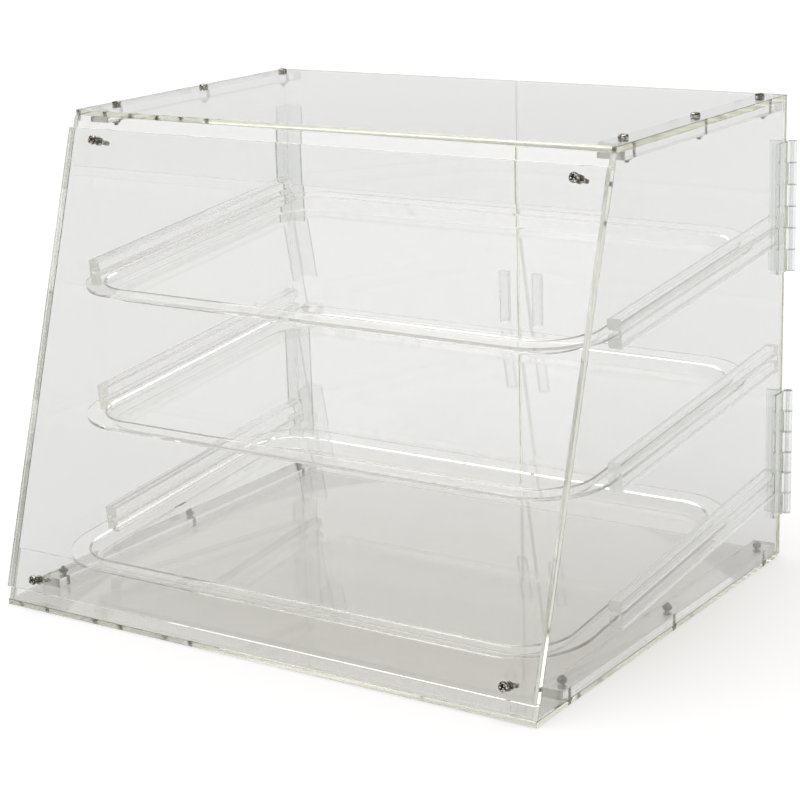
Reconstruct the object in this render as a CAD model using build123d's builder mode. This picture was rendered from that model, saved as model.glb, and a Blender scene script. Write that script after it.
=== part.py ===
"""Countertop bread display bin: a clear acrylic case with a slanted front and two rear doors.

Three shallow trays slide in pairs of sloping guides.  Millimetres, +Z up, +Y to the rear,
origin at the centre of the base panel's underside.
"""
from build123d import *
from math import atan2, cos, radians, sin, tan
import os

# ---- case -------------------------------------------------------------------
case_width = 533.0          # over the side panels
case_height = 416.0         # underside of the base to the top face
base_depth = 431.5          # base panel, front to back
top_depth = 301.5           # top panel, front to back
sheet = 5.0                 # thickness of every clear panel
cement_film = 0.1           # between two faces that are glued
edge_break = 0.4            # polished chamfer on the free edges of the panels

# ---- front panel and the strips behind it -----------------------------------
front_margin = 16.0         # panel edge to the case's own edge, along the slope
strip_width = 43.5

# ---- bars that carry the top and the base -----------------------------------
bar_width = 20.0
bar_height = 8.0
bar_rear_gap = 2.0
top_bar_front_gap = 12.0    # bar to the strip behind the front panel
bottom_bar_length = 386.0

# ---- tray guides ------------------------------------------------------------
tray_tilt = 5.7             # degrees, low at the front
slot_rear_height = 70.5     # middle of the lowest slot at the guides' rear ends
slot_top_space = 111.5      # the same point of the highest slot to the underside of the top panel
guide_length = 292.5
guide_rear_gap = 1.5
guide_shifts = {"left": 8.0, "right": 0.0}      # down the slope, toward the front
guide_width = 12.0
guide_lobe = 9.75           # height of each bar of the guide
slot_height = 5.0
slot_depth = 9.5
lobe_radius = 2.6

# ---- trays ------------------------------------------------------------------
tray_depth = 340.0
tray_side_gap = 1.2         # tray rim to the bottom of the slot
tray_lift = 0.3             # tray rim above the lower bar of the guide
tray_thickness = 3.0
tray_corner = 58.0
rim_width = 14.0
pan_depth = 11.0            # underside of the rim to the underside of the pan
pan_draft = 28.0            # degrees
pan_fillet = 4.0
tray_rear_gaps = (51.5, 18.5, 8.5)      # tray rim to the back edge of the panels, by tier

# ---- doors ------------------------------------------------------------------
door_gap = 0.5              # door to the back edges of the panels
door_side_inset = 0.5
door_top_drop = 0.5
door_floor_gap = 1.5
door_meeting_gap = 1.5
pull_width = 10.0
pull_depth = 6.0
pull_height = 50.0
pull_inset = 12.0           # pull to the meeting edge of its door
pull_fillet = 1.5

# ---- hinges -----------------------------------------------------------------
hinge_length = 114.0
hinge_end_inset = 40.0      # hinge to the top and to the underside of the case
leaf_width = 22.0           # pin axis to the leaf's free edge
leaf_thickness = 2.0
pin_offset = 3.5            # pin axis to the face that the leaf lies on
knuckle_radius = 4.0
knuckle_count = 6
knuckle_gap = 0.4
notch = 5.5                 # a leaf is cut back this far from the pin beside the other leaf's knuckles
pin_diameter = 3.0
pin_clearance = 0.05        # radial

# ---- places worked out from the sizes ---------------------------------------
half_width = case_width / 2
inner_half = half_width - sheet
y_back = base_depth / 2
y_front = -base_depth / 2
slant = atan2(base_depth - top_depth, case_height)
slope_length = case_height / cos(slant)
front_plane = Plane(origin=(0, y_front, 0), x_dir=(1, 0, 0), z_dir=(0, -cos(slant), sin(slant)))
door_inner = y_back + door_gap
door_outer = door_inner + sheet
glued_half = inner_half - cement_film
bar_x = glued_half - bar_width / 2
pin_x = half_width + cement_film + pin_offset
pin_y = door_outer + cement_film + pin_offset
guide_rear_y = y_back - guide_rear_gap
tilt = radians(tray_tilt)
sides = {"left": -1, "right": 1}
tiers = ("lower", "middle", "upper")
tier_pitch = (case_height - sheet - slot_top_space - slot_rear_height) / (len(tiers) - 1)


def slant_y(height):
    """Y of the case's slanted front at a height."""
    return y_front + height * tan(slant)


def tier_plane(tier):
    """Plane through the slots of a tier: x across, y up the slope to the rear, z square to it."""
    height = slot_rear_height + tier * tier_pitch
    return Plane(origin=(0, guide_rear_y, height), x_dir=(1, 0, 0), z_dir=(0, -sin(tilt), cos(tilt)))


os.makedirs("parts", exist_ok=True)


def save(builder, name):
    """Label a finished piece and write it as a STEP file of the same name."""
    builder.part.label = name
    export_step(builder.part, f"parts/{name}.step")


# ---- flat panels ------------------------------------------------------------
def make_base_panel():
    with BuildPart() as base_panel:
        with BuildSketch():
            Rectangle(case_width, base_depth)
        extrude(amount=sheet)
        chamfer(base_panel.edges(), edge_break)
    save(base_panel, "base_panel")


def make_top_panel():
    with BuildPart() as top_panel:
        with BuildSketch(Plane.XY.offset(case_height - sheet)):
            with Locations((0, y_back - top_depth / 2)):
                Rectangle(case_width, top_depth)
        extrude(amount=sheet)
        chamfer(top_panel.edges(), edge_break)
    save(top_panel, "top_panel")


def make_side_panel(side, sign):
    low = sheet + cement_film
    high = case_height - sheet - cement_film
    with BuildPart() as side_panel:
        with BuildSketch(Plane.YZ.offset(sign * (half_width - sheet / 2))):
            with BuildLine():
                rear_edge = (y_back, low), (y_back, high)
                front_edge = (slant_y(high), high), (slant_y(low), low)
                Polyline(*rear_edge, *front_edge, close=True)
            make_face()
        extrude(amount=sheet / 2, both=True)
        upright = side_panel.edges().filter_by(lambda edge: abs(edge.tangent_at(0.5).Z) > 0.5)
        chamfer(upright, edge_break)
    save(side_panel, f"{side}_side_panel")


def make_front_panel():
    panel_length = slope_length - 2 * front_margin
    with BuildPart() as front_panel:
        with BuildSketch(front_plane.offset(cement_film)):
            with Locations((0, slope_length / 2)):
                Rectangle(case_width, panel_length)
        extrude(amount=sheet)
        chamfer(front_panel.edges(), edge_break)
    save(front_panel, "front_panel")


def make_front_strip(name, low_edge):
    """A strip behind the front panel, glued between the side panels."""
    with BuildPart() as strip:
        with BuildSketch(front_plane):
            with Locations((0, low_edge + strip_width / 2)):
                Rectangle(2 * glued_half, strip_width)
        extrude(amount=-sheet)
    save(strip, name)


def make_bar(name, sign, low_face, y_low, y_high):
    """A square-cut bar along a side panel, for the screws that hold the top or the base."""
    with BuildPart() as bar:
        with BuildSketch(Plane.XY.offset(low_face)):
            with Locations((sign * bar_x, (y_low + y_high) / 2)):
                Rectangle(bar_width, y_high - y_low)
        extrude(amount=bar_height)
    save(bar, name)


# ---- tray guides and trays --------------------------------------------------
def make_tray_guide(side, sign, tier):
    """A clear channel glued to the side panel: two rounded bars with a slot for the tray's rim."""
    slot_plane = tier_plane(tier)
    rear_end = slot_plane.origin - slot_plane.y_dir * guide_shifts[side]
    section = Plane(origin=rear_end, x_dir=(1, 0, 0), z_dir=-slot_plane.y_dir)
    guide_height = 2 * guide_lobe + slot_height
    with BuildPart() as guide:
        with BuildSketch(section):
            with Locations((sign * (glued_half - guide_width / 2), 0)):
                Rectangle(guide_width, guide_height)
            with Locations((sign * (glued_half - guide_width + slot_depth / 2), 0)):
                Rectangle(slot_depth, slot_height, mode=Mode.SUBTRACT)
        extrude(amount=guide_length)
        along = guide.edges().filter_by(Axis(section.origin, section.z_dir))
        inner_edges = along.group_by(lambda edge: round(abs(edge.center().X), 3))[0]
        fillet(inner_edges, lobe_radius)
    save(guide, f"{side}_{tiers[tier]}_tray_guide")


def make_tray(tier):
    """A shallow moulded tray: a flat rim that rides in the slots round a drafted pan."""
    rim_half = glued_half - guide_width + slot_depth - tray_side_gap
    rim_low = tray_lift - slot_height / 2
    along = tier_plane(tier)
    rear = (guide_rear_gap - tray_rear_gaps[tier]) / cos(tilt)
    centre = (0, rear - tray_depth / 2)
    with BuildPart() as tray:
        with BuildSketch(along.offset(rim_low)):
            with Locations(centre):
                RectangleRounded(2 * rim_half, tray_depth, tray_corner)
        extrude(amount=tray_thickness)
        with BuildSketch(along.offset(rim_low + tray_thickness)):
            with Locations(centre):
                mouth_depth = tray_depth - 2 * rim_width
                RectangleRounded(2 * (rim_half - rim_width), mouth_depth, tray_corner - rim_width)
        extrude(amount=-pan_depth - tray_thickness, taper=pan_draft)
        floor_edges = tray.faces().sort_by(Axis(along.origin, along.z_dir))[0].edges()
        fillet(floor_edges, pan_fillet + tray_thickness)
        inner_half_width = rim_half - rim_width - tray_thickness
        inner_depth = mouth_depth - 2 * tray_thickness
        with BuildSketch(along.offset(rim_low + tray_thickness)):
            with Locations(centre):
                RectangleRounded(2 * inner_half_width, inner_depth, tray_corner - rim_width - tray_thickness)
        extrude(amount=-pan_depth, taper=pan_draft, mode=Mode.SUBTRACT)
    save(tray, f"{tiers[tier]}_tray")


# ---- doors and hinges -------------------------------------------------------
def make_door(side, sign):
    width = half_width - door_side_inset - door_meeting_gap / 2
    height = case_height - door_top_drop - door_floor_gap
    with BuildPart() as door:
        with BuildSketch(Plane.XZ.offset(-door_outer)):
            with Locations((sign * (door_meeting_gap / 2 + width / 2), door_floor_gap + height / 2)):
                Rectangle(width, height)
        extrude(amount=sheet)
        chamfer(door.edges(), edge_break)
    save(door, f"{side}_door")
    with BuildPart() as pull:
        with BuildSketch(Plane.XZ.offset(-door_outer - cement_film - pull_depth)):
            with Locations((sign * (door_meeting_gap / 2 + pull_inset + pull_width / 2), case_height / 2)):
                Rectangle(pull_width, pull_height)
        extrude(amount=pull_depth)
        outer_edges = pull.faces().sort_by(Axis.Y)[-1].edges()
        fillet(outer_edges, pull_fillet)
    save(pull, f"{side}_door_pull")


def knuckle_cells(low, parity):
    """Middle heights of every other knuckle, counted from the top."""
    pitch = hinge_length / knuckle_count
    top = low + hinge_length
    return [top - (cell + 0.5) * pitch for cell in range(knuckle_count) if cell % 2 == parity]


def make_leaf(name, sign, low, parity, on_door):
    """One leaf of a hinge with its knuckles, notched round the knuckles of the other leaf."""
    pitch = hinge_length / knuckle_count
    flat_low = -pin_offset
    flat_mid = flat_low + leaf_thickness / 2
    axis_plane = Plane(origin=(sign * pin_x, pin_y, low + hinge_length / 2))
    if on_door:
        plate_middle = (-sign * leaf_width / 2, flat_mid)
        plate_size = (leaf_width, leaf_thickness)
    else:
        plate_middle = (sign * flat_mid, -leaf_width / 2)
        plate_size = (leaf_thickness, leaf_width)
    own = [(0, 0, height - low - hinge_length / 2) for height in knuckle_cells(low, parity)]
    other = [(0, 0, height - low - hinge_length / 2) for height in knuckle_cells(low, 1 - parity)]
    with BuildPart(axis_plane) as leaf:
        with BuildSketch(axis_plane.offset(-hinge_length / 2 + knuckle_gap / 2)):
            with Locations(plate_middle):
                Rectangle(*plate_size)
        extrude(amount=hinge_length - knuckle_gap)
        with Locations(*other):
            Box(2 * notch, 2 * notch, pitch + knuckle_gap, mode=Mode.SUBTRACT)
        with Locations(*own):
            Cylinder(knuckle_radius, pitch - knuckle_gap)
        Cylinder(pin_diameter / 2 + pin_clearance, hinge_length, mode=Mode.SUBTRACT)
    save(leaf, name)


def make_hinge(side, sign, level, low):
    make_leaf(f"{side}_{level}_hinge_side_leaf", sign, low, 0, False)
    make_leaf(f"{side}_{level}_hinge_door_leaf", sign, low, 1, True)
    with BuildPart() as pin:
        with BuildSketch(Plane.XY.offset(low)):
            with Locations((sign * pin_x, pin_y)):
                Circle(pin_diameter / 2)
        extrude(amount=hinge_length)
    save(pin, f"{side}_{level}_hinge_pin")


# ---- the whole case ---------------------------------------------------------
make_base_panel()
make_top_panel()
make_front_panel()
strip_lift = (sheet + cement_film) / cos(slant) + sheet * tan(slant)
top_strip_edge = (case_height - sheet - cement_film) / cos(slant) - strip_width
make_front_strip("front_bottom_strip", strip_lift)
make_front_strip("front_top_strip", top_strip_edge)

bar_rear_y = y_back - bar_rear_gap
bottom_bar_low = sheet + cement_film
top_bar_low = case_height - sheet - cement_film - bar_height
top_bar_front_y = slant_y(case_height - sheet) + sheet / cos(slant) + top_bar_front_gap
hinge_lows = {"lower": hinge_end_inset, "upper": case_height - hinge_end_inset - hinge_length}
for side, sign in sides.items():
    make_side_panel(side, sign)
    make_bar(f"{side}_top_bar", sign, top_bar_low, top_bar_front_y, bar_rear_y)
    make_bar(f"{side}_bottom_bar", sign, bottom_bar_low, bar_rear_y - bottom_bar_length, bar_rear_y)
    make_door(side, sign)
    for tier in range(len(tiers)):
        make_tray_guide(side, sign, tier)
    for level, low in hinge_lows.items():
        make_hinge(side, sign, level, low)
for tier in range(len(tiers)):
    make_tray(tier)
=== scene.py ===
# %% [markdown]
# # A countertop bread display bin
#
# The real case stands on a shop counter.  It is made of sheets of clear acrylic that are glued and
# screwed together, with a slanted front, three trays that slide on sloping guides, and two hinged doors
# at the back through which the trays are filled.  Its shape, its joints and the room for every moving
# piece come from the CAD model, which is loaded first and isn't changed here.  What is left for Blender
# is the look: clear plastic that shows its edges, the small screws and nuts that hold the sheets, and a
# plain studio to see them in.
#
# Everything is in metres.  The front looks along -y, and z = 0 is the counter.

# %% Load the CAD model and keep its box
import math

import bmesh
import bpy
from mathutils import Matrix, Vector


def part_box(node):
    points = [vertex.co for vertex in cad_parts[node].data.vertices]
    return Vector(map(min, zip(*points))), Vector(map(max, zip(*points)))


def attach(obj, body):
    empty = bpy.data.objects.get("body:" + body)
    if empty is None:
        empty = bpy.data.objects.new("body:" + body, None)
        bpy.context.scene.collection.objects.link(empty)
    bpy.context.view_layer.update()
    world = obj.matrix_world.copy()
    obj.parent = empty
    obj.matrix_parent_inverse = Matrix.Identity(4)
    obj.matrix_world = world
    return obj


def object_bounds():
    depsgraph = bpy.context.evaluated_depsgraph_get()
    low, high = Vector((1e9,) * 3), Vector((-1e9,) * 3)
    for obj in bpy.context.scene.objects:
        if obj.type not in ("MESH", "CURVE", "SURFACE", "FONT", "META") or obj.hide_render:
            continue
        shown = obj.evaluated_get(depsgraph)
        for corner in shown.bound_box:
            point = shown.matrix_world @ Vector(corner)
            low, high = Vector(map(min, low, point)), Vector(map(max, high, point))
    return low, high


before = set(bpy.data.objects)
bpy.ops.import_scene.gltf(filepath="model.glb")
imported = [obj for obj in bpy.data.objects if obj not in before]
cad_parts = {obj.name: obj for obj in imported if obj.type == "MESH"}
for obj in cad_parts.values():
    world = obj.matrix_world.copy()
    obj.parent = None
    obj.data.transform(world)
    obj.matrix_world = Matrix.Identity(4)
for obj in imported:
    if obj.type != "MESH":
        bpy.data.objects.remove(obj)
cad_low, cad_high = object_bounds()
print("pieces from CAD:", len(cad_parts))
print("CAD box, mm:", [round(1000 * side, 1) for side in cad_high - cad_low])

# %% [markdown]
# ## Writing shaders as sums
#
# A material in Blender is a graph of nodes.  Joining nodes one by one hides the idea behind them, so a
# small class wraps one output of a node.  Adding or multiplying two of these makes the Math node that
# does it, and `1 - mask` works as it reads.  A second class holds one graph, of a material or of the
# world.  Its `node` method makes any other node from a type, its settings and its inputs.

# %% A value that takes part in sums
class Signal:
    """One output of a node, on which Python's operators add Math nodes."""

    def __init__(self, recipe, socket):
        self.recipe = recipe
        self.socket = socket

    def maths(self, operation, first, second=0.0, clamp=False):
        settings = {"operation": operation, "use_clamp": clamp}
        return self.recipe.node("ShaderNodeMath", settings, {0: first, 1: second})["Value"]

    def __add__(self, other):
        return self.maths("ADD", self, other)

    __radd__ = __add__

    def __mul__(self, other):
        return self.maths("MULTIPLY", self, other)

    __rmul__ = __mul__

    def __sub__(self, other):
        return self.maths("SUBTRACT", self, other)

    def __rsub__(self, other):
        return self.maths("SUBTRACT", other, self)

    def __lt__(self, other):
        return self.maths("LESS_THAN", self, other)

    def __gt__(self, other):
        return self.maths("GREATER_THAN", self, other)

    def __abs__(self):
        return self.maths("ABSOLUTE", self)

    def clamped(self):
        """The same value, held between 0 and 1."""
        return self.maths("ADD", self, 0.0, clamp=True)


# %% A graph that is being put together
class Recipe:
    """Builds one node tree."""

    def __init__(self, owner):
        owner.use_nodes = True
        self.owner = owner
        self.tree = owner.node_tree
        self.tree.nodes.clear()

    def node(self, kind, settings=None, inputs=None):
        """Make a node and return its outputs by name."""
        made = self.tree.nodes.new(kind)
        for key, value in (settings or {}).items():
            setattr(made, key, value)
        for key, value in (inputs or {}).items():
            if isinstance(value, Signal):
                self.tree.links.new(value.socket, made.inputs[key])
            else:
                made.inputs[key].default_value = value
        return {socket.name: Signal(self, socket) for socket in made.outputs if socket.enabled}

    def blend(self, factor, first, second):
        """Mix two colours: the first where the factor is 0, the second where it is 1."""
        sockets = {0: factor, 6: first, 7: second}      # 6 and 7 are the inputs for colours
        return self.node("ShaderNodeMix", {"data_type": "RGBA"}, sockets)["Result"]

    def along(self, vector, axis):
        """How much of a vector lies along an axis."""
        product = {"operation": "DOT_PRODUCT"}
        return self.node("ShaderNodeVectorMath", product, {0: vector, 1: axis})["Value"]

    def facing(self):
        """The way the surface faces, by the piece's own axes."""
        return self.node("ShaderNodeTexCoord")["Normal"]

    def noise(self, scale, detail=2.0, stretch=(1, 1, 1)):
        """Clouds from 0 to 1: scale says how many to the metre, and a small stretch draws them out."""
        place = self.node("ShaderNodeTexCoord")["Object"]
        where = self.node("ShaderNodeMapping", {}, {"Vector": place, "Scale": stretch})["Vector"]
        clouds = {"Vector": where, "Scale": scale, "Detail": detail}
        return self.node("ShaderNodeTexNoise", {}, clouds)["Fac"]

    def hairlines(self, scale, stretch, width):
        """A mask of thin lines, where a stretched noise passes through its middle."""
        middle = 0.5
        return abs(self.noise(scale, detail=1.0, stretch=stretch) - middle) < width

    def bump(self, height, depth):
        """The normals of a surface whose height goes from 0 to a depth in metres."""
        relief = {"Height": height, "Distance": depth, "Strength": 1.0}
        return self.node("ShaderNodeBump", {}, relief)["Normal"]

    def finish(self, surface, volume=None):
        """Join a material's output node, and return the material."""
        inputs = {"Surface": surface}
        if volume is not None:
            inputs["Volume"] = volume
        self.node("ShaderNodeOutputMaterial", {}, inputs)
        return self.owner


def new_recipe(name):
    return Recipe(bpy.data.materials.new(name))


trial = new_recipe("trial")
faded = 1 - trial.noise(5.0) * 0.5
print("one line of sums made:", [node.bl_idname for node in trial.tree.nodes])
print("and it ends in the", faded.socket.name, "of a", faded.socket.node.operation.lower(), "node")
bpy.data.materials.remove(trial.owner)

# %% [markdown]
# ## Clear plastic
#
# Acrylic takes a little of the light that crosses a sheet, and much more of the light that runs along
# inside it for the length of a panel.  That is why its faces look clear and its edges olive.  The
# surface could carry a painted edge colour, but then the edge would look the same from every side.
# So the surface is a glass with a faint tint, and the space inside absorbs light by the distance that
# it travels.
#
# Glass stops the rays that look for a lamp, which would put the inside of the case in deep shadow.  A
# ray of that kind, told by Light Path, meets a plain tinted filter instead.

# %% Plastic that lamps shine through
acrylic_ior = 1.49


def clear_plastic(recipe, surface, lamp_filter, soak):
    """Glass with its settings, a filter for lamps, and a colour and density of absorption inside."""
    settings = {"Transmission Weight": 1.0, "IOR": acrylic_ior}
    settings.update(surface)
    body = recipe.node("ShaderNodeBsdfPrincipled", {}, settings)["BSDF"]
    pane = recipe.node("ShaderNodeBsdfTransparent", {}, {"Color": lamp_filter})["BSDF"]
    lamp_ray = recipe.node("ShaderNodeLightPath")["Is Shadow Ray"]
    either = recipe.node("ShaderNodeMixShader", {}, {0: lamp_ray, 1: body, 2: pane})["Shader"]
    colour, density = soak
    absorption = {"Color": colour, "Density": density}
    inside = recipe.node("ShaderNodeVolumeAbsorption", {}, absorption)["Volume"]
    return recipe.finish(either, inside)


# %% [markdown]
# ## The sheets
#
# The panels and doors are sawn from cast sheet and their edges are polished with a flame.  A cast face
# is nearly flat, with a slow ripple, a few hairline scratches and the smudges of hands.  A flamed edge
# is glossy too, but the saw leaves a fine ripple across it.
#
# Both could be given out by hand, face by face.  Here the shader tells them apart itself: where the
# surface faces along the thickness of the sheet it is a face, and elsewhere it is an edge.  So the same
# material holds for the edge breaks, and for any sheet with the same thickness axis.
#
# The tint of the faces differs from panel to panel.  A line of sight crosses the front or the top and
# then a side or a door, and the tints are shared out so that the case is one pale grey through each
# of these pairs.  The base's warm grey tint is painted shade, for the shade that falls under the trays.

# %% A sheet with polished edges
olive = (0.69, 0.695, 0.54, 1)
lamp_through_sheet = (0.99, 0.99, 0.988, 1)
edge_tint = (0.995, 0.995, 0.985, 1)
edge_gain = 3.0             # how soon a slanted surface counts as an edge
edge_roughness, saw_roughness = 0.06, 0.03
saw_reach = 0.95            # how far the saw marks are drawn out across an edge, of 1
saw_share = 0.1             # height of the saw marks beside the ripple of the face
smudge_level, smudge_roughness = 0.62, 0.005        # smudges are where a noise passes the level
scratch_width, scratch_roughness = 0.0012, 0.03     # the width is in the noise's own value
ripple_depth = 0.00001


def sheet_plastic(name, thickness_axis, face_tint, density):
    """A sheet whose thickness lies along an axis."""
    recipe = new_recipe(name)
    edge = ((1 - abs(recipe.along(recipe.facing(), thickness_axis))) * edge_gain).clamped()
    face = 1 - edge
    across_edge = tuple(1 - saw_reach * abs(part) for part in thickness_axis)
    saw_marks = recipe.noise(scale=420.0, stretch=across_edge)
    smudges = (recipe.noise(scale=9.0, detail=4.0) > smudge_level) * smudge_roughness
    scratches = recipe.hairlines(scale=6.0, stretch=(1.0, 0.35, 0.2), width=scratch_width)
    tint = recipe.blend(edge, face_tint, edge_tint)
    edge_finish = edge_roughness + saw_roughness * saw_marks
    face_finish = smudges + scratches * scratch_roughness
    roughness = edge * edge_finish + face * face_finish
    height = recipe.noise(scale=7.0, detail=1.0) + edge * saw_marks * saw_share
    surface = {"Base Color": tint, "Roughness": roughness, "Normal": recipe.bump(height, ripple_depth)}
    return clear_plastic(recipe, surface, lamp_through_sheet, (olive, density))


# %% The five sheet materials
base_depth, top_depth, case_height = 0.4315, 0.3015, 0.416
slant = math.atan2(base_depth - top_depth, case_height)
out_of_front = (0, -math.cos(slant), math.sin(slant))
across, rearward, upward = (1, 0, 0), (0, 1, 0), (0, 0, 1)
clearest = (0.93, 0.932, 0.928, 1)
front_sheet = sheet_plastic("acrylic_front_sheet", out_of_front, clearest, density=1.1)
side_sheet = sheet_plastic("acrylic_side_sheet", across, (0.81, 0.812, 0.804, 1), density=0.9)
door_sheet = sheet_plastic("acrylic_door_sheet", rearward, (0.84, 0.842, 0.842, 1), density=6.0)
top_sheet = sheet_plastic("acrylic_top_sheet", upward, clearest, density=2.2)
# The base's warm grey face tint is painted shade under the trays.
base_sheet_with_painted_shade = sheet_plastic("acrylic_base_sheet_painted_shade", upward, (0.82, 0.796, 0.757, 1), density=1.4)
print("slant of the front, degrees:", round(math.degrees(slant), 2))

# %% [markdown]
# ## Bars, guides, pulls and strips
#
# The smaller clear pieces are sawn from lengths of bar.  Their long faces are as bright as the sheet's,
# and their cut ends are left a little rough, so that they show as pale blocks inside the case.  A cut
# end is again found by the way it faces, this time along the length of the piece.

# %% Plastic cut from a length
clear_filter = (0.985, 0.985, 0.98, 1)
end_facing = 0.9            # how squarely a surface faces along the length to be a cut end
cut_saw_roughness = 0.1
dull_level, dull_roughness = 0.6, 0.01      # handled patches, where a noise passes the level
bar_ripple_depth = 0.000002
bar_density = 1.3


def cut_plastic(name, tint, length_axis, cut_roughness):
    """A bar, with a finish of its own on the ends of its length."""
    recipe = new_recipe(name)
    cut = abs(recipe.along(recipe.facing(), length_axis)) > end_facing
    saw_marks = recipe.noise(scale=1200.0, stretch=(0.1, 1, 1))
    dulled = (recipe.noise(scale=25.0, detail=3.0) > dull_level) * dull_roughness
    roughness = cut * (cut_roughness + cut_saw_roughness * saw_marks) + (1 - cut) * dulled
    ripple = recipe.bump(recipe.noise(scale=30.0), bar_ripple_depth)
    surface = {"Base Color": tint, "Roughness": roughness, "Normal": ripple}
    return clear_plastic(recipe, surface, clear_filter, (olive, bar_density))


tilt = math.radians(5.7)        # of the guides and trays, low at the front
up_the_guide = (0, math.cos(tilt), math.sin(tilt))
bar_plastic = cut_plastic("acrylic_bar", (0.985, 0.985, 0.98, 1), rearward, cut_roughness=0.3)
guide_plastic = cut_plastic("acrylic_guide", (0.99, 0.99, 0.988, 1), up_the_guide, cut_roughness=0.15)
strip_plastic = cut_plastic("acrylic_strip", (0.995, 0.995, 0.993, 1), across, cut_roughness=0.05)
pull_plastic = cut_plastic("acrylic_pull", (0.9, 0.902, 0.898, 1), upward, cut_roughness=0.05)
print("tilt of the guides, degrees:", round(math.degrees(tilt), 1))

# %% [markdown]
# ## Trays
#
# The trays are drawn down out of a thinner clear sheet over a mould.  Drawing stretches the sheet at
# the walls of the pan, which leaves it faintly wavy there, and bread that slides over the floor of the
# pan wears fine scuffs into it, mostly from front to back.  The scuffs are the hairlines of a noise
# that is drawn out along y.

# %% Moulded trays
flat_facing = 0.98          # how squarely a surface faces out of the tray to be its floor or rim
scuff_width, scuff_roughness = 0.004, 0.06
wall_roughness = 0.01
draw_wave_depth = 0.00001
tray_soak = ((0.7, 0.7, 0.62, 1), 1.5)


def make_tray_plastic():
    recipe = new_recipe("tray_plastic")
    out_of_tray = (0, -math.sin(tilt), math.cos(tilt))
    flat = abs(recipe.along(recipe.facing(), out_of_tray)) > flat_facing
    scuffs = recipe.hairlines(scale=60.0, stretch=(1.0, 0.03, 1.0), width=scuff_width)
    cloud = recipe.noise(scale=14.0, detail=3.0)
    roughness = flat * scuffs * scuff_roughness + (1 - flat) * wall_roughness * cloud
    tint = recipe.blend(cloud, (0.99, 0.988, 0.983, 1), (0.98, 0.978, 0.973, 1))
    draw_waves = recipe.bump((1 - flat) * recipe.noise(scale=45.0, detail=1.0), draw_wave_depth)
    surface = {"Base Color": tint, "Roughness": roughness, "Normal": draw_waves}
    return clear_plastic(recipe, surface, (0.95, 0.94, 0.925, 1), tray_soak)


tray_plastic = make_tray_plastic()
print("tray nodes:", len(tray_plastic.node_tree.nodes))

# %% [markdown]
# ## Hinges
#
# The hinges are moulded from a clear plastic that is a little greyer than the sheet, so they stand out
# as light grey blocks at the corners.  Moulded plastic shows faint flow marks round the pin, here a
# noise drawn out along the pin, and a slight haze on the skin.

# %% Moulded hinges
skin_roughness, flow_roughness = 0.02, 0.04
flow_depth = 0.00001
hinge_soak = ((0.6, 0.62, 0.6, 1), 40.0)


def make_hinge_plastic():
    recipe = new_recipe("hinge_plastic")
    flow = recipe.noise(scale=120.0, stretch=(1, 1, 0.15))
    tint = recipe.blend(flow, (0.93, 0.94, 0.93, 1), (0.87, 0.88, 0.87, 1))
    haze = skin_roughness + flow_roughness * flow
    surface = {"Base Color": tint, "Roughness": haze, "Normal": recipe.bump(flow, flow_depth)}
    return clear_plastic(recipe, surface, (0.95, 0.95, 0.95, 1), hinge_soak)


hinge_plastic = make_hinge_plastic()
print("hinge nodes:", len(hinge_plastic.node_tree.nodes))

# %% [markdown]
# ## Putting the finishes on the CAD pieces
#
# Every piece from the CAD model already has the right shape, so it stays and only gets its material.
# The sheets are named one by one, and the rest are known by how their names end.

# %% Which finish goes where
finish_of = {
    "base_panel": base_sheet_with_painted_shade, "top_panel": top_sheet, "front_panel": front_sheet,
    "left_side_panel": side_sheet, "right_side_panel": side_sheet,
    "left_door": door_sheet, "right_door": door_sheet}
finish_by_ending = {
    "_strip": strip_plastic, "_bar": bar_plastic, "_guide": guide_plastic, "_tray": tray_plastic,
    "_pull": pull_plastic, "_leaf": hinge_plastic, "_pin": hinge_plastic}


def finish_for(name):
    if name in finish_of:
        return finish_of[name]
    return next(finish for ending, finish in finish_by_ending.items() if name.endswith(ending))


for name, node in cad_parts.items():
    node.data.materials.clear()
    node.data.materials.append(finish_for(name))
    print(name, "-", finish_for(name).name)

# %% [markdown]
# ## Steel
#
# The screws and nuts are plated steel that has gone a little brown in handling.  Bare metal shows
# mostly what it reflects, and in a white room that is white.  So the dark patches are painted
# reflections of a darker room, put into the plating's colour: a noise with patches of about a
# millimetre, pushed to strong contrast, blends painted dark reflection with clean plate.  The cut
# recess of a head is painted shade, dark and dull.

# %% Plated steel with painted dark reflections, and painted shade in a recess
# The near-black colour is a painted dark reflection; the other is the plate's own colour.
painted_dark_reflection, clean_plate = (0.022, 0.017, 0.011, 1), (0.72, 0.68, 0.6, 1)
reflection_paint_contrast, reflection_paint_balance = 7, 0.3
# The recess colours are painted shade: near black, for the shadow inside the driver's cross.
darkest_painted_shade, lighter_painted_shade = (0.008, 0.008, 0.008, 1), (0.03, 0.028, 0.024, 1)
scuff_depth = 0.000005


def make_plated_steel():
    recipe = new_recipe("plated_steel")
    clouds = recipe.noise(scale=700.0, detail=3.0)
    # Where the noise is low, painted dark reflection covers the plate.
    bright_plate_share = ((clouds - 0.5) * reflection_paint_contrast + reflection_paint_balance).clamped()
    scuffs = recipe.noise(scale=2600.0, detail=1.0, stretch=(1, 1, 0.2))
    metal = {"Base Color": recipe.blend(bright_plate_share, painted_dark_reflection, clean_plate), "Metallic": 1.0}
    metal["Roughness"] = 0.1 + 0.1 * clouds + 0.05 * scuffs
    metal["Normal"] = recipe.bump(scuffs, scuff_depth)
    return recipe.finish(recipe.node("ShaderNodeBsdfPrincipled", {}, metal)["BSDF"])


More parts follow.
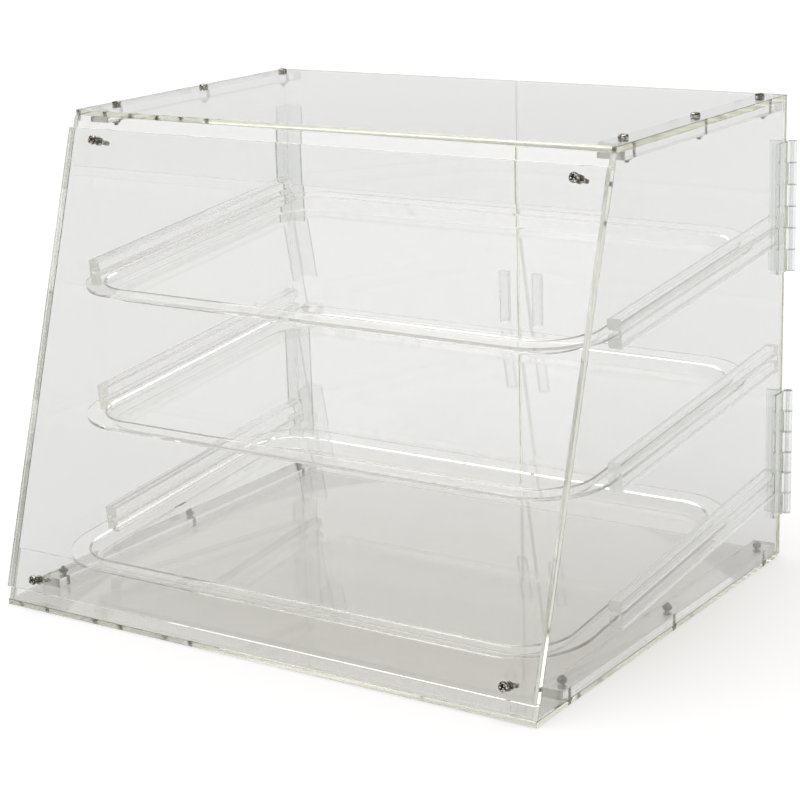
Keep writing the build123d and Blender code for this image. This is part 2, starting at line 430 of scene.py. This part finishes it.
def make_recess_painted_shade():
    recipe = new_recipe("recess_painted_shade")
    shade_cloud = recipe.noise(scale=2500.0)
    dirt = {"Base Color": recipe.blend(shade_cloud, darkest_painted_shade, lighter_painted_shade), "Roughness": 0.5 + 0.3 * shade_cloud}
    return recipe.finish(recipe.node("ShaderNodeBsdfPrincipled", {}, dirt)["BSDF"])


plated_steel = make_plated_steel()
recess_painted_shade = make_recess_painted_shade()
print("steel nodes:", len(plated_steel.node_tree.nodes))

# %% [markdown]
# ## Turned shapes
#
# A screw is turned on a lathe, so its mesh is a stack of rings, each joined to the next by a band of
# faces.  A ring is a rule: for an angle it gives a radius and a height.  A plain ring gives the same
# radius all round, a thread's radius rises and falls once in each turn, and the side of a nut follows
# its six flats.  A Screw modifier could sweep a thread too, but then thread, shank and head would be
# three shells that cross each other, and the piece is wanted as one closed skin.

# %% A skin through rings
ring_steps = 36
sharp_angle = 32            # degrees


def turned(rings):
    """A closed skin through rings, from the lowest to the highest."""
    skin = bmesh.new()
    angles = [2 * math.pi * step / ring_steps for step in range(ring_steps)]
    loops = []
    for ring in rings:
        sizes = [(angle, *ring(angle)) for angle in angles]
        loops.append([skin.verts.new((radius * math.cos(angle), radius * math.sin(angle), height))
                      for angle, radius, height in sizes])
    for lower, upper in zip(loops, loops[1:]):
        for step in range(ring_steps):
            after = (step + 1) % ring_steps
            skin.faces.new((lower[step], lower[after], upper[after], upper[step]))
    skin.faces.new(reversed(loops[0]))
    skin.faces.new(loops[-1])
    bmesh.ops.recalc_face_normals(skin, faces=skin.faces)
    return skin


def even(radius, height):
    """A round ring at one height."""
    return lambda angle: (radius, height)


def mesh_of(skin, name, material):
    """Turn a skin into a named mesh, smooth but for its sharp edges."""
    mesh = bpy.data.meshes.new(name)
    skin.to_mesh(mesh)
    skin.free()
    mesh.materials.append(material)
    mesh.shade_smooth()
    mesh.set_sharp_from_angle(angle=math.radians(sharp_angle))
    return mesh


# %% The thread of an M4 machine screw
shank_radius = 0.002
pitch, thread_depth = 0.0007, 0.00032
rings_per_turn = 6
point_length, point_share = 0.0006, 0.7     # the share is of the shank's radius
panel_thread, front_thread = 0.008, 0.012


def thread_ring(height):
    """A ring of the thread, whose crest has come round by one turn for each pitch of height."""
    def ring(angle):
        turn = (height / pitch - angle / (2 * math.pi)) % 1.0
        return shank_radius - thread_depth * abs(2 * turn - 1), height
    return ring


def shank_rings(length, threaded):
    """A shank from its point up, with a thread on its lower part."""
    low = point_length - length
    steps = int(threaded / (pitch / rings_per_turn))
    rings = [even(shank_radius * point_share, -length), even(shank_radius, low)]
    rings += [thread_ring(low + step * pitch / rings_per_turn) for step in range(1, steps)]
    return rings + [even(shank_radius, low + threaded)]


print("turns of thread on a panel screw:", round(panel_thread / pitch, 1))

# %% [markdown]
# ## The driver's recess
#
# Each head has a cross for the driver.  Drawing its edges into the top of a round head would be fiddly,
# and the factory doesn't either: a cross-shaped punch is pressed in.  Here the punch is two tapered
# wings, and a Boolean takes it out of the head.  The Boolean also carries the punch's material, a
# painted shade, from the punch's faces to the walls of the recess.

# %% A punch of two tapered wings
punch_top, punch_depth = 0.0008, 0.0019
wing_at_top, wing_at_point = (0.0054, 0.0015), (0.0030, 0.0010)     # length and thickness


def cross_punch():
    punch = bmesh.new()
    for turn in (0, math.pi / 2):
        wing = bmesh.new()
        bmesh.ops.create_cube(wing, size=1.0)
        for vertex in wing.verts:
            is_top = vertex.co.z > 0
            length, thickness = wing_at_top if is_top else wing_at_point
            height = punch_top if is_top else -punch_depth
            vertex.co = Vector((vertex.co.x * length, vertex.co.y * thickness, height))
        bmesh.ops.rotate(wing, verts=wing.verts, cent=(0, 0, 0), matrix=Matrix.Rotation(turn, 3, "Z"))
        wing_mesh = bpy.data.meshes.new("wing")
        wing.to_mesh(wing_mesh)
        wing.free()
        punch.from_mesh(wing_mesh)
        bpy.data.meshes.remove(wing_mesh)
    return punch


# %% Press the punch into a head
def with_recess(skin, top, name):
    """Cut the driver's cross out of a head whose top is at a height."""
    punch_skin = cross_punch()
    bmesh.ops.translate(punch_skin, verts=punch_skin.verts, vec=(0, 0, top))
    head = bpy.data.objects.new(name, mesh_of(skin, name + "_blank", plated_steel))
    punch = bpy.data.objects.new(name + "_punch", mesh_of(punch_skin, name + "_punch", recess_painted_shade))
    for thing in (head, punch):
        bpy.context.scene.collection.objects.link(thing)
    cut = head.modifiers.new("recess", "BOOLEAN")
    cut.object = punch
    cut.operation = "DIFFERENCE"
    cut.solver = "EXACT"
    cut.use_self = True
    cut.material_mode = "TRANSFER"
    shaped = bpy.data.meshes.new_from_object(head.evaluated_get(bpy.context.evaluated_depsgraph_get()))
    shaped.name = name
    for thing in (head, punch):
        blank = thing.data
        bpy.data.objects.remove(thing)
        bpy.data.meshes.remove(blank)
    print(name, "faces:", len(shaped.polygons))
    return shaped


# %% [markdown]
# ## Screws and nuts
#
# The top is held by pan-head screws, which stand on it, and the base by countersunk ones, which lie
# flush in it, so that the case stands flat.  The nuts are hexagons whose corners are turned off.

# %% A pan-head screw
head_radius, head_height = 0.0042, 0.003
seat_share, seat_height = 0.98, 0.0003          # the underside is turned a little smaller
crown_start, crown_inset, crown_steps = 0.0012, 0.0016, 6
crown_tip_radius, crown_tip_rise = 0.001, 0.0001


def pan_screw(name, length, threaded):
    """A screw whose head stands on z = 0 and whose shank runs down."""
    rings = shank_rings(length, threaded) + [even(shank_radius, 0.0)]
    rings += [even(head_radius * seat_share, 0.0), even(head_radius, seat_height)]
    for part in range(1, crown_steps + 1):
        lean = part / crown_steps * math.pi / 2
        radius = head_radius - crown_inset * (1 - math.cos(lean))
        rings.append(even(radius, crown_start + (head_height - crown_start) * math.sin(lean)))
    rings.append(even(crown_tip_radius, head_height + crown_tip_rise))
    return with_recess(turned(rings), head_height, name)


# %% A countersunk screw
sunk_radius, sunk_depth = 0.004, 0.0024
land = 0.0003               # the straight rim above the cone


def flat_screw(name, length, threaded):
    """A screw whose flat face is at z = 0 and whose shank runs down."""
    rings = shank_rings(length, threaded) + [even(shank_radius, -sunk_depth)]
    rings += [even(sunk_radius, -land), even(sunk_radius, 0.0)]
    return with_recess(turned(rings), 0.0, name)


# %% A hexagon nut
nut_height, half_flats = 0.0032, 0.0035
bore, mouth = shank_radius * 1.02, shank_radius * 1.2
mouth_depth = 0.0004
face_radius = half_flats * 0.97
corner_slope, corner_start = 0.58, 0.0001       # the slope is about that of 30 degrees


def hex_nut():
    def side(angle):
        return half_flats / math.cos((angle + math.pi / 6) % (math.pi / 3) - math.pi / 6)

    def corner(end, inward):
        """A ring that follows the flats, and drops a little at the corners."""
        def ring(angle):
            return side(angle), end + inward * (side(angle) - half_flats) * corner_slope
        return ring

    rings = [even(bore, mouth_depth), even(mouth, 0.0), even(face_radius, 0.0),
             corner(corner_start, 1), corner(nut_height - corner_start, -1),
             even(face_radius, nut_height), even(mouth, nut_height),
             even(bore, nut_height - mouth_depth)]
    return mesh_of(turned(rings), "nut", plated_steel)


nut = hex_nut()
print("nut faces:", len(nut.polygons))


# %% Put a piece on the case
def place_piece(name, mesh, spot, axis, spin):
    """Stand a copy of a mesh at a spot, with its own z along an axis, and let it ride on the case."""
    piece = bpy.data.objects.new(name, mesh)
    bpy.context.scene.collection.objects.link(piece)
    turn = Vector(axis).to_track_quat("Z", "Y").to_matrix().to_4x4()
    piece.matrix_world = Matrix.Translation(spot) @ turn @ Matrix.Rotation(spin, 4, "Z")
    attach(piece, "case")
    print(name, "at", [round(1000 * part, 1) for part in spot], "mm")


# %% [markdown]
# ## Screws through the top and the base
#
# Three screws on each side go down through the top panel and its bar into nuts, and three go up through
# the base.  Their places follow from the panels and bars, whose boxes are read from the CAD model, so
# they stay right if the case changes.  Screws are never all turned the same way in a real case, so each
# gets a turn of its own.

# %% Where the screws stand
sheet, cement = 0.005, 0.0001
tail = 0.0022               # of a screw past its nut
base_gap = 0.0002           # from the counter up to the faces of the base screws
rear_inset = 0.0185         # from the back edge of the top panel to the rearmost screws
top_pitch, base_pitch = 0.1228, 0.1765
top_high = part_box("top_panel")[1]
base_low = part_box("base_panel")[0]
top_bar_low, top_bar_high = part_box("right_top_bar")
base_bar_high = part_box("right_bottom_bar")[1]
bar_x = (top_bar_low.x + top_bar_high.x) / 2
top_grip = top_high.z - top_bar_low.z
print("screws at x = +/-", round(1000 * bar_x, 1), "mm")
print("grip of the top, mm:", round(1000 * top_grip, 1))

# %% Twelve screws with their nuts
top_screw = pan_screw("top_screw", top_grip + nut_height + tail, panel_thread)
base_screw = flat_screw("base_screw", base_bar_high.z + nut_height + tail, panel_thread)
downward = (0, 0, -1)
hands = (("left", -1), ("right", 1))
for hand, sign in hands:
    x = sign * bar_x
    for number in range(3):
        ending = f"{number + 1}"
        y = top_high.y - rear_inset - number * top_pitch
        place_piece(f"{hand}_top_screw_{ending}", top_screw, Vector((x, y, top_high.z)),
                    upward, spin=0.5 + 0.9 * number + sign)
        place_piece(f"{hand}_top_nut_{ending}", nut, Vector((x, y, top_bar_low.z - nut_height)),
                    upward, spin=0.4 * number)
        y = top_high.y - rear_inset - number * base_pitch
        place_piece(f"{hand}_base_screw_{ending}", base_screw, Vector((x, y, base_gap)),
                    downward, spin=0.7 * number)
        place_piece(f"{hand}_base_nut_{ending}", nut, Vector((x, y, base_bar_high.z)),
                    upward, spin=0.3 + 0.5 * number)

# %% [markdown]
# ## Bolts through the front
#
# Four bolts hold the slanted front panel to the strips behind it.  They stand square to the slope, so
# their places are counted along it from the foot of the panel.

# %% Four bolts with their nuts
front_normal = Vector(out_of_front)
slope_up = Vector((0, math.sin(slant), math.cos(slant)))
slope_length = case_height / math.cos(slant)
bolt_x, bolt_inset, bolt_length = 0.237, 0.026, 0.0245
joint = sheet + cement
front_bolt = pan_screw("front_bolt", bolt_length, front_thread)
for hand, sign in hands:
    for level, run in (("low", bolt_inset), ("high", slope_length - bolt_inset)):
        spot = Vector((sign * bolt_x, base_low.y, 0)) + slope_up * run + front_normal * joint
        place_piece(f"{hand}_{level}_front_bolt", front_bolt, spot, front_normal, spin=0.35 + sign)
        behind = spot - front_normal * (2 * joint + nut_height)
        place_piece(f"{hand}_{level}_front_nut", nut, behind, front_normal, spin=0.2)
print("length of the slope, mm:", round(1000 * slope_length, 1))

# %% [markdown]
# ## The studio floor
#
# Clear plastic is nothing but what is behind it and what it mirrors.  The case is meant to stand on
# white, so the floor has to be white both to the eye and through the glass.  More light would do that,
# but it would burn out the case as well.  Instead the floor glows faintly, and only for rays that come
# from the camera, straight, mirrored or through glass.  The light that it throws on the case is that of
# a plain pale floor, and the case's shadow stays.

# %% What the eye meets and what lights the case
def seen_or_lit(recipe, seen, lit):
    """One shader for the camera's rays, glass and mirrors included, and one for the rest."""
    path = recipe.node("ShaderNodeLightPath")
    direct = (path["Is Camera Ray"] + path["Is Glossy Ray"] + path["Is Transmission Ray"]).clamped()
    before_any_matt_surface = path["Diffuse Depth"] < 0.5
    from_camera = direct * before_any_matt_surface
    return recipe.node("ShaderNodeMixShader", {}, {0: from_camera, 1: lit, 2: seen})["Shader"]


# %% A pale floor
floor_half, floor_drop = 30, 0.0005
floor_colour, floor_glow = (0.86, 0.855, 0.85, 1), 0.35
white = (1, 1, 1, 1)


def make_floor_finish():
    recipe = new_recipe("studio_floor")
    matt = recipe.node("ShaderNodeBsdfDiffuse", {}, {"Color": floor_colour})["BSDF"]
    glow = recipe.node("ShaderNodeEmission", {}, {"Color": white, "Strength": floor_glow})["Emission"]
    both = recipe.node("ShaderNodeAddShader", {}, {0: matt, 1: glow})["Shader"]
    return recipe.finish(seen_or_lit(recipe, both, matt))


floor_mesh = bpy.data.meshes.new("studio_floor")
quarters = ((-1, -1), (1, -1), (1, 1), (-1, 1))
corners = [(x * floor_half, y * floor_half, -floor_drop) for x, y in quarters]
floor_mesh.from_pydata(corners, [], [(0, 1, 2, 3)])
floor_mesh.materials.append(make_floor_finish())
floor = bpy.data.objects.new("studio_floor", floor_mesh)
bpy.context.scene.collection.objects.link(floor)
print("floor, m across:", 2 * floor_half)

# %% [markdown]
# ## Light
#
# An area lamp near the case would be mirrored by the panels as a hard white shape.  Sun lamps with a
# wide angle are as even as an overcast sky: one overhead, one from the front, and a weak one from
# behind that draws the rims of the trays.
#
# The world fills in the rest.  Where the camera sees it, it is white at the horizon, where it joins the
# floor, and a pale grey higher up.  With white all round, every line in the plastic would be white too:
# the grey overhead is what the rims, lobes and polished edges mirror as their darker lines.

# %% A world that is white at the horizon and pale grey above
world = bpy.data.worlds.new("studio")
bpy.context.scene.world = world
sky = Recipe(world)
sky_light = 0.23
overhead_grey = (0.7, 0.7, 0.7, 1)
horizon_top, horizon_fade = 0.04, 8.0       # the height where the grey begins, and how fast it comes
direction = sky.node("ShaderNodeTexCoord")["Generated"]
height = ((sky.along(direction, upward) - horizon_top) * horizon_fade).clamped()
wall = sky.blend(height, white, overhead_grey)
backdrop = sky.node("ShaderNodeBackground", {}, {"Color": wall, "Strength": 1.0})["Background"]
light = sky.node("ShaderNodeBackground", {}, {"Color": white, "Strength": sky_light})["Background"]
sky.node("ShaderNodeOutputWorld", {}, {"Surface": seen_or_lit(sky, backdrop, light)})
print("nodes of the world:", len(sky.tree.nodes))


# %% Three wide suns
def sun(name, towards, softness, power):
    """A far lamp in a direction, as wide as an angle in degrees."""
    data = bpy.data.lights.new(name, "SUN")
    data.angle = math.radians(softness)
    data.energy = power
    lamp = bpy.data.objects.new(name, data)
    lamp.rotation_euler = (-Vector(towards)).to_track_quat("-Z", "Y").to_euler()
    bpy.context.scene.collection.objects.link(lamp)
    print(name, "lamp from", towards)


sun("overhead", (-0.28, 0.2, 1.0), softness=66, power=1.6)
sun("front", (-0.4, -0.6, 1.0), softness=60, power=0.6)
sun("behind", (-0.5, 0.74, 0.55), softness=28, power=0.1)

# %% [markdown]
# ## Camera
#
# The case is seen from its right, a little above, with a long lens from about two metres.  A camera
# looks along its own -z, so its frame is built from three directions: ahead, and the right and up of
# the picture, which are rolled a little because a camera in the hand is never quite level.

# %% A camera from three directions
camera_place = Vector((1.0242, -1.5046, 0.6702))
turn, dip, roll = (math.radians(angle) for angle in (-34.05, 15.494, -1.789))
ahead = Vector((math.sin(turn) * math.cos(dip), math.cos(turn) * math.cos(dip), -math.sin(dip)))
level = Vector((math.cos(turn), -math.sin(turn), 0))
above = level.cross(ahead)
right = math.cos(roll) * level + math.sin(roll) * above
up = math.cos(roll) * above - math.sin(roll) * level
lens = bpy.data.cameras.new("camera")
lens.lens = 97.95
lens.sensor_width = 36
camera = bpy.data.objects.new("camera", lens)
pointing = Matrix((right, up, -ahead)).transposed().to_4x4()
camera.matrix_world = Matrix.Translation(camera_place) @ pointing
bpy.context.scene.collection.objects.link(camera)
bpy.context.scene.camera = camera
case_middle = (cad_low + cad_high) / 2
print("camera, m from the middle of the case:", round((camera_place - case_middle).length, 2))

# %% [markdown]
# ## How far light is followed
#
# A ray that enters the edge of a sheet is mirrored from face to face until it leaves at the far edge.
# Each mirroring is one bounce, and where the count runs out the edge turns black, so the limit is far
# above the usual one.  Caustics are off, because lamps reach the floor through the filters.

# %% Bounces, caustics and the view transform
bpy.context.scene.view_settings.view_transform = "Standard"
tracing = bpy.context.scene.cycles
tracing.max_bounces = tracing.glossy_bounces = tracing.transmission_bounces = 96
tracing.transparent_max_bounces = 64
tracing.caustics_refractive = tracing.caustics_reflective = False
print("bounces at most:", tracing.max_bounces)
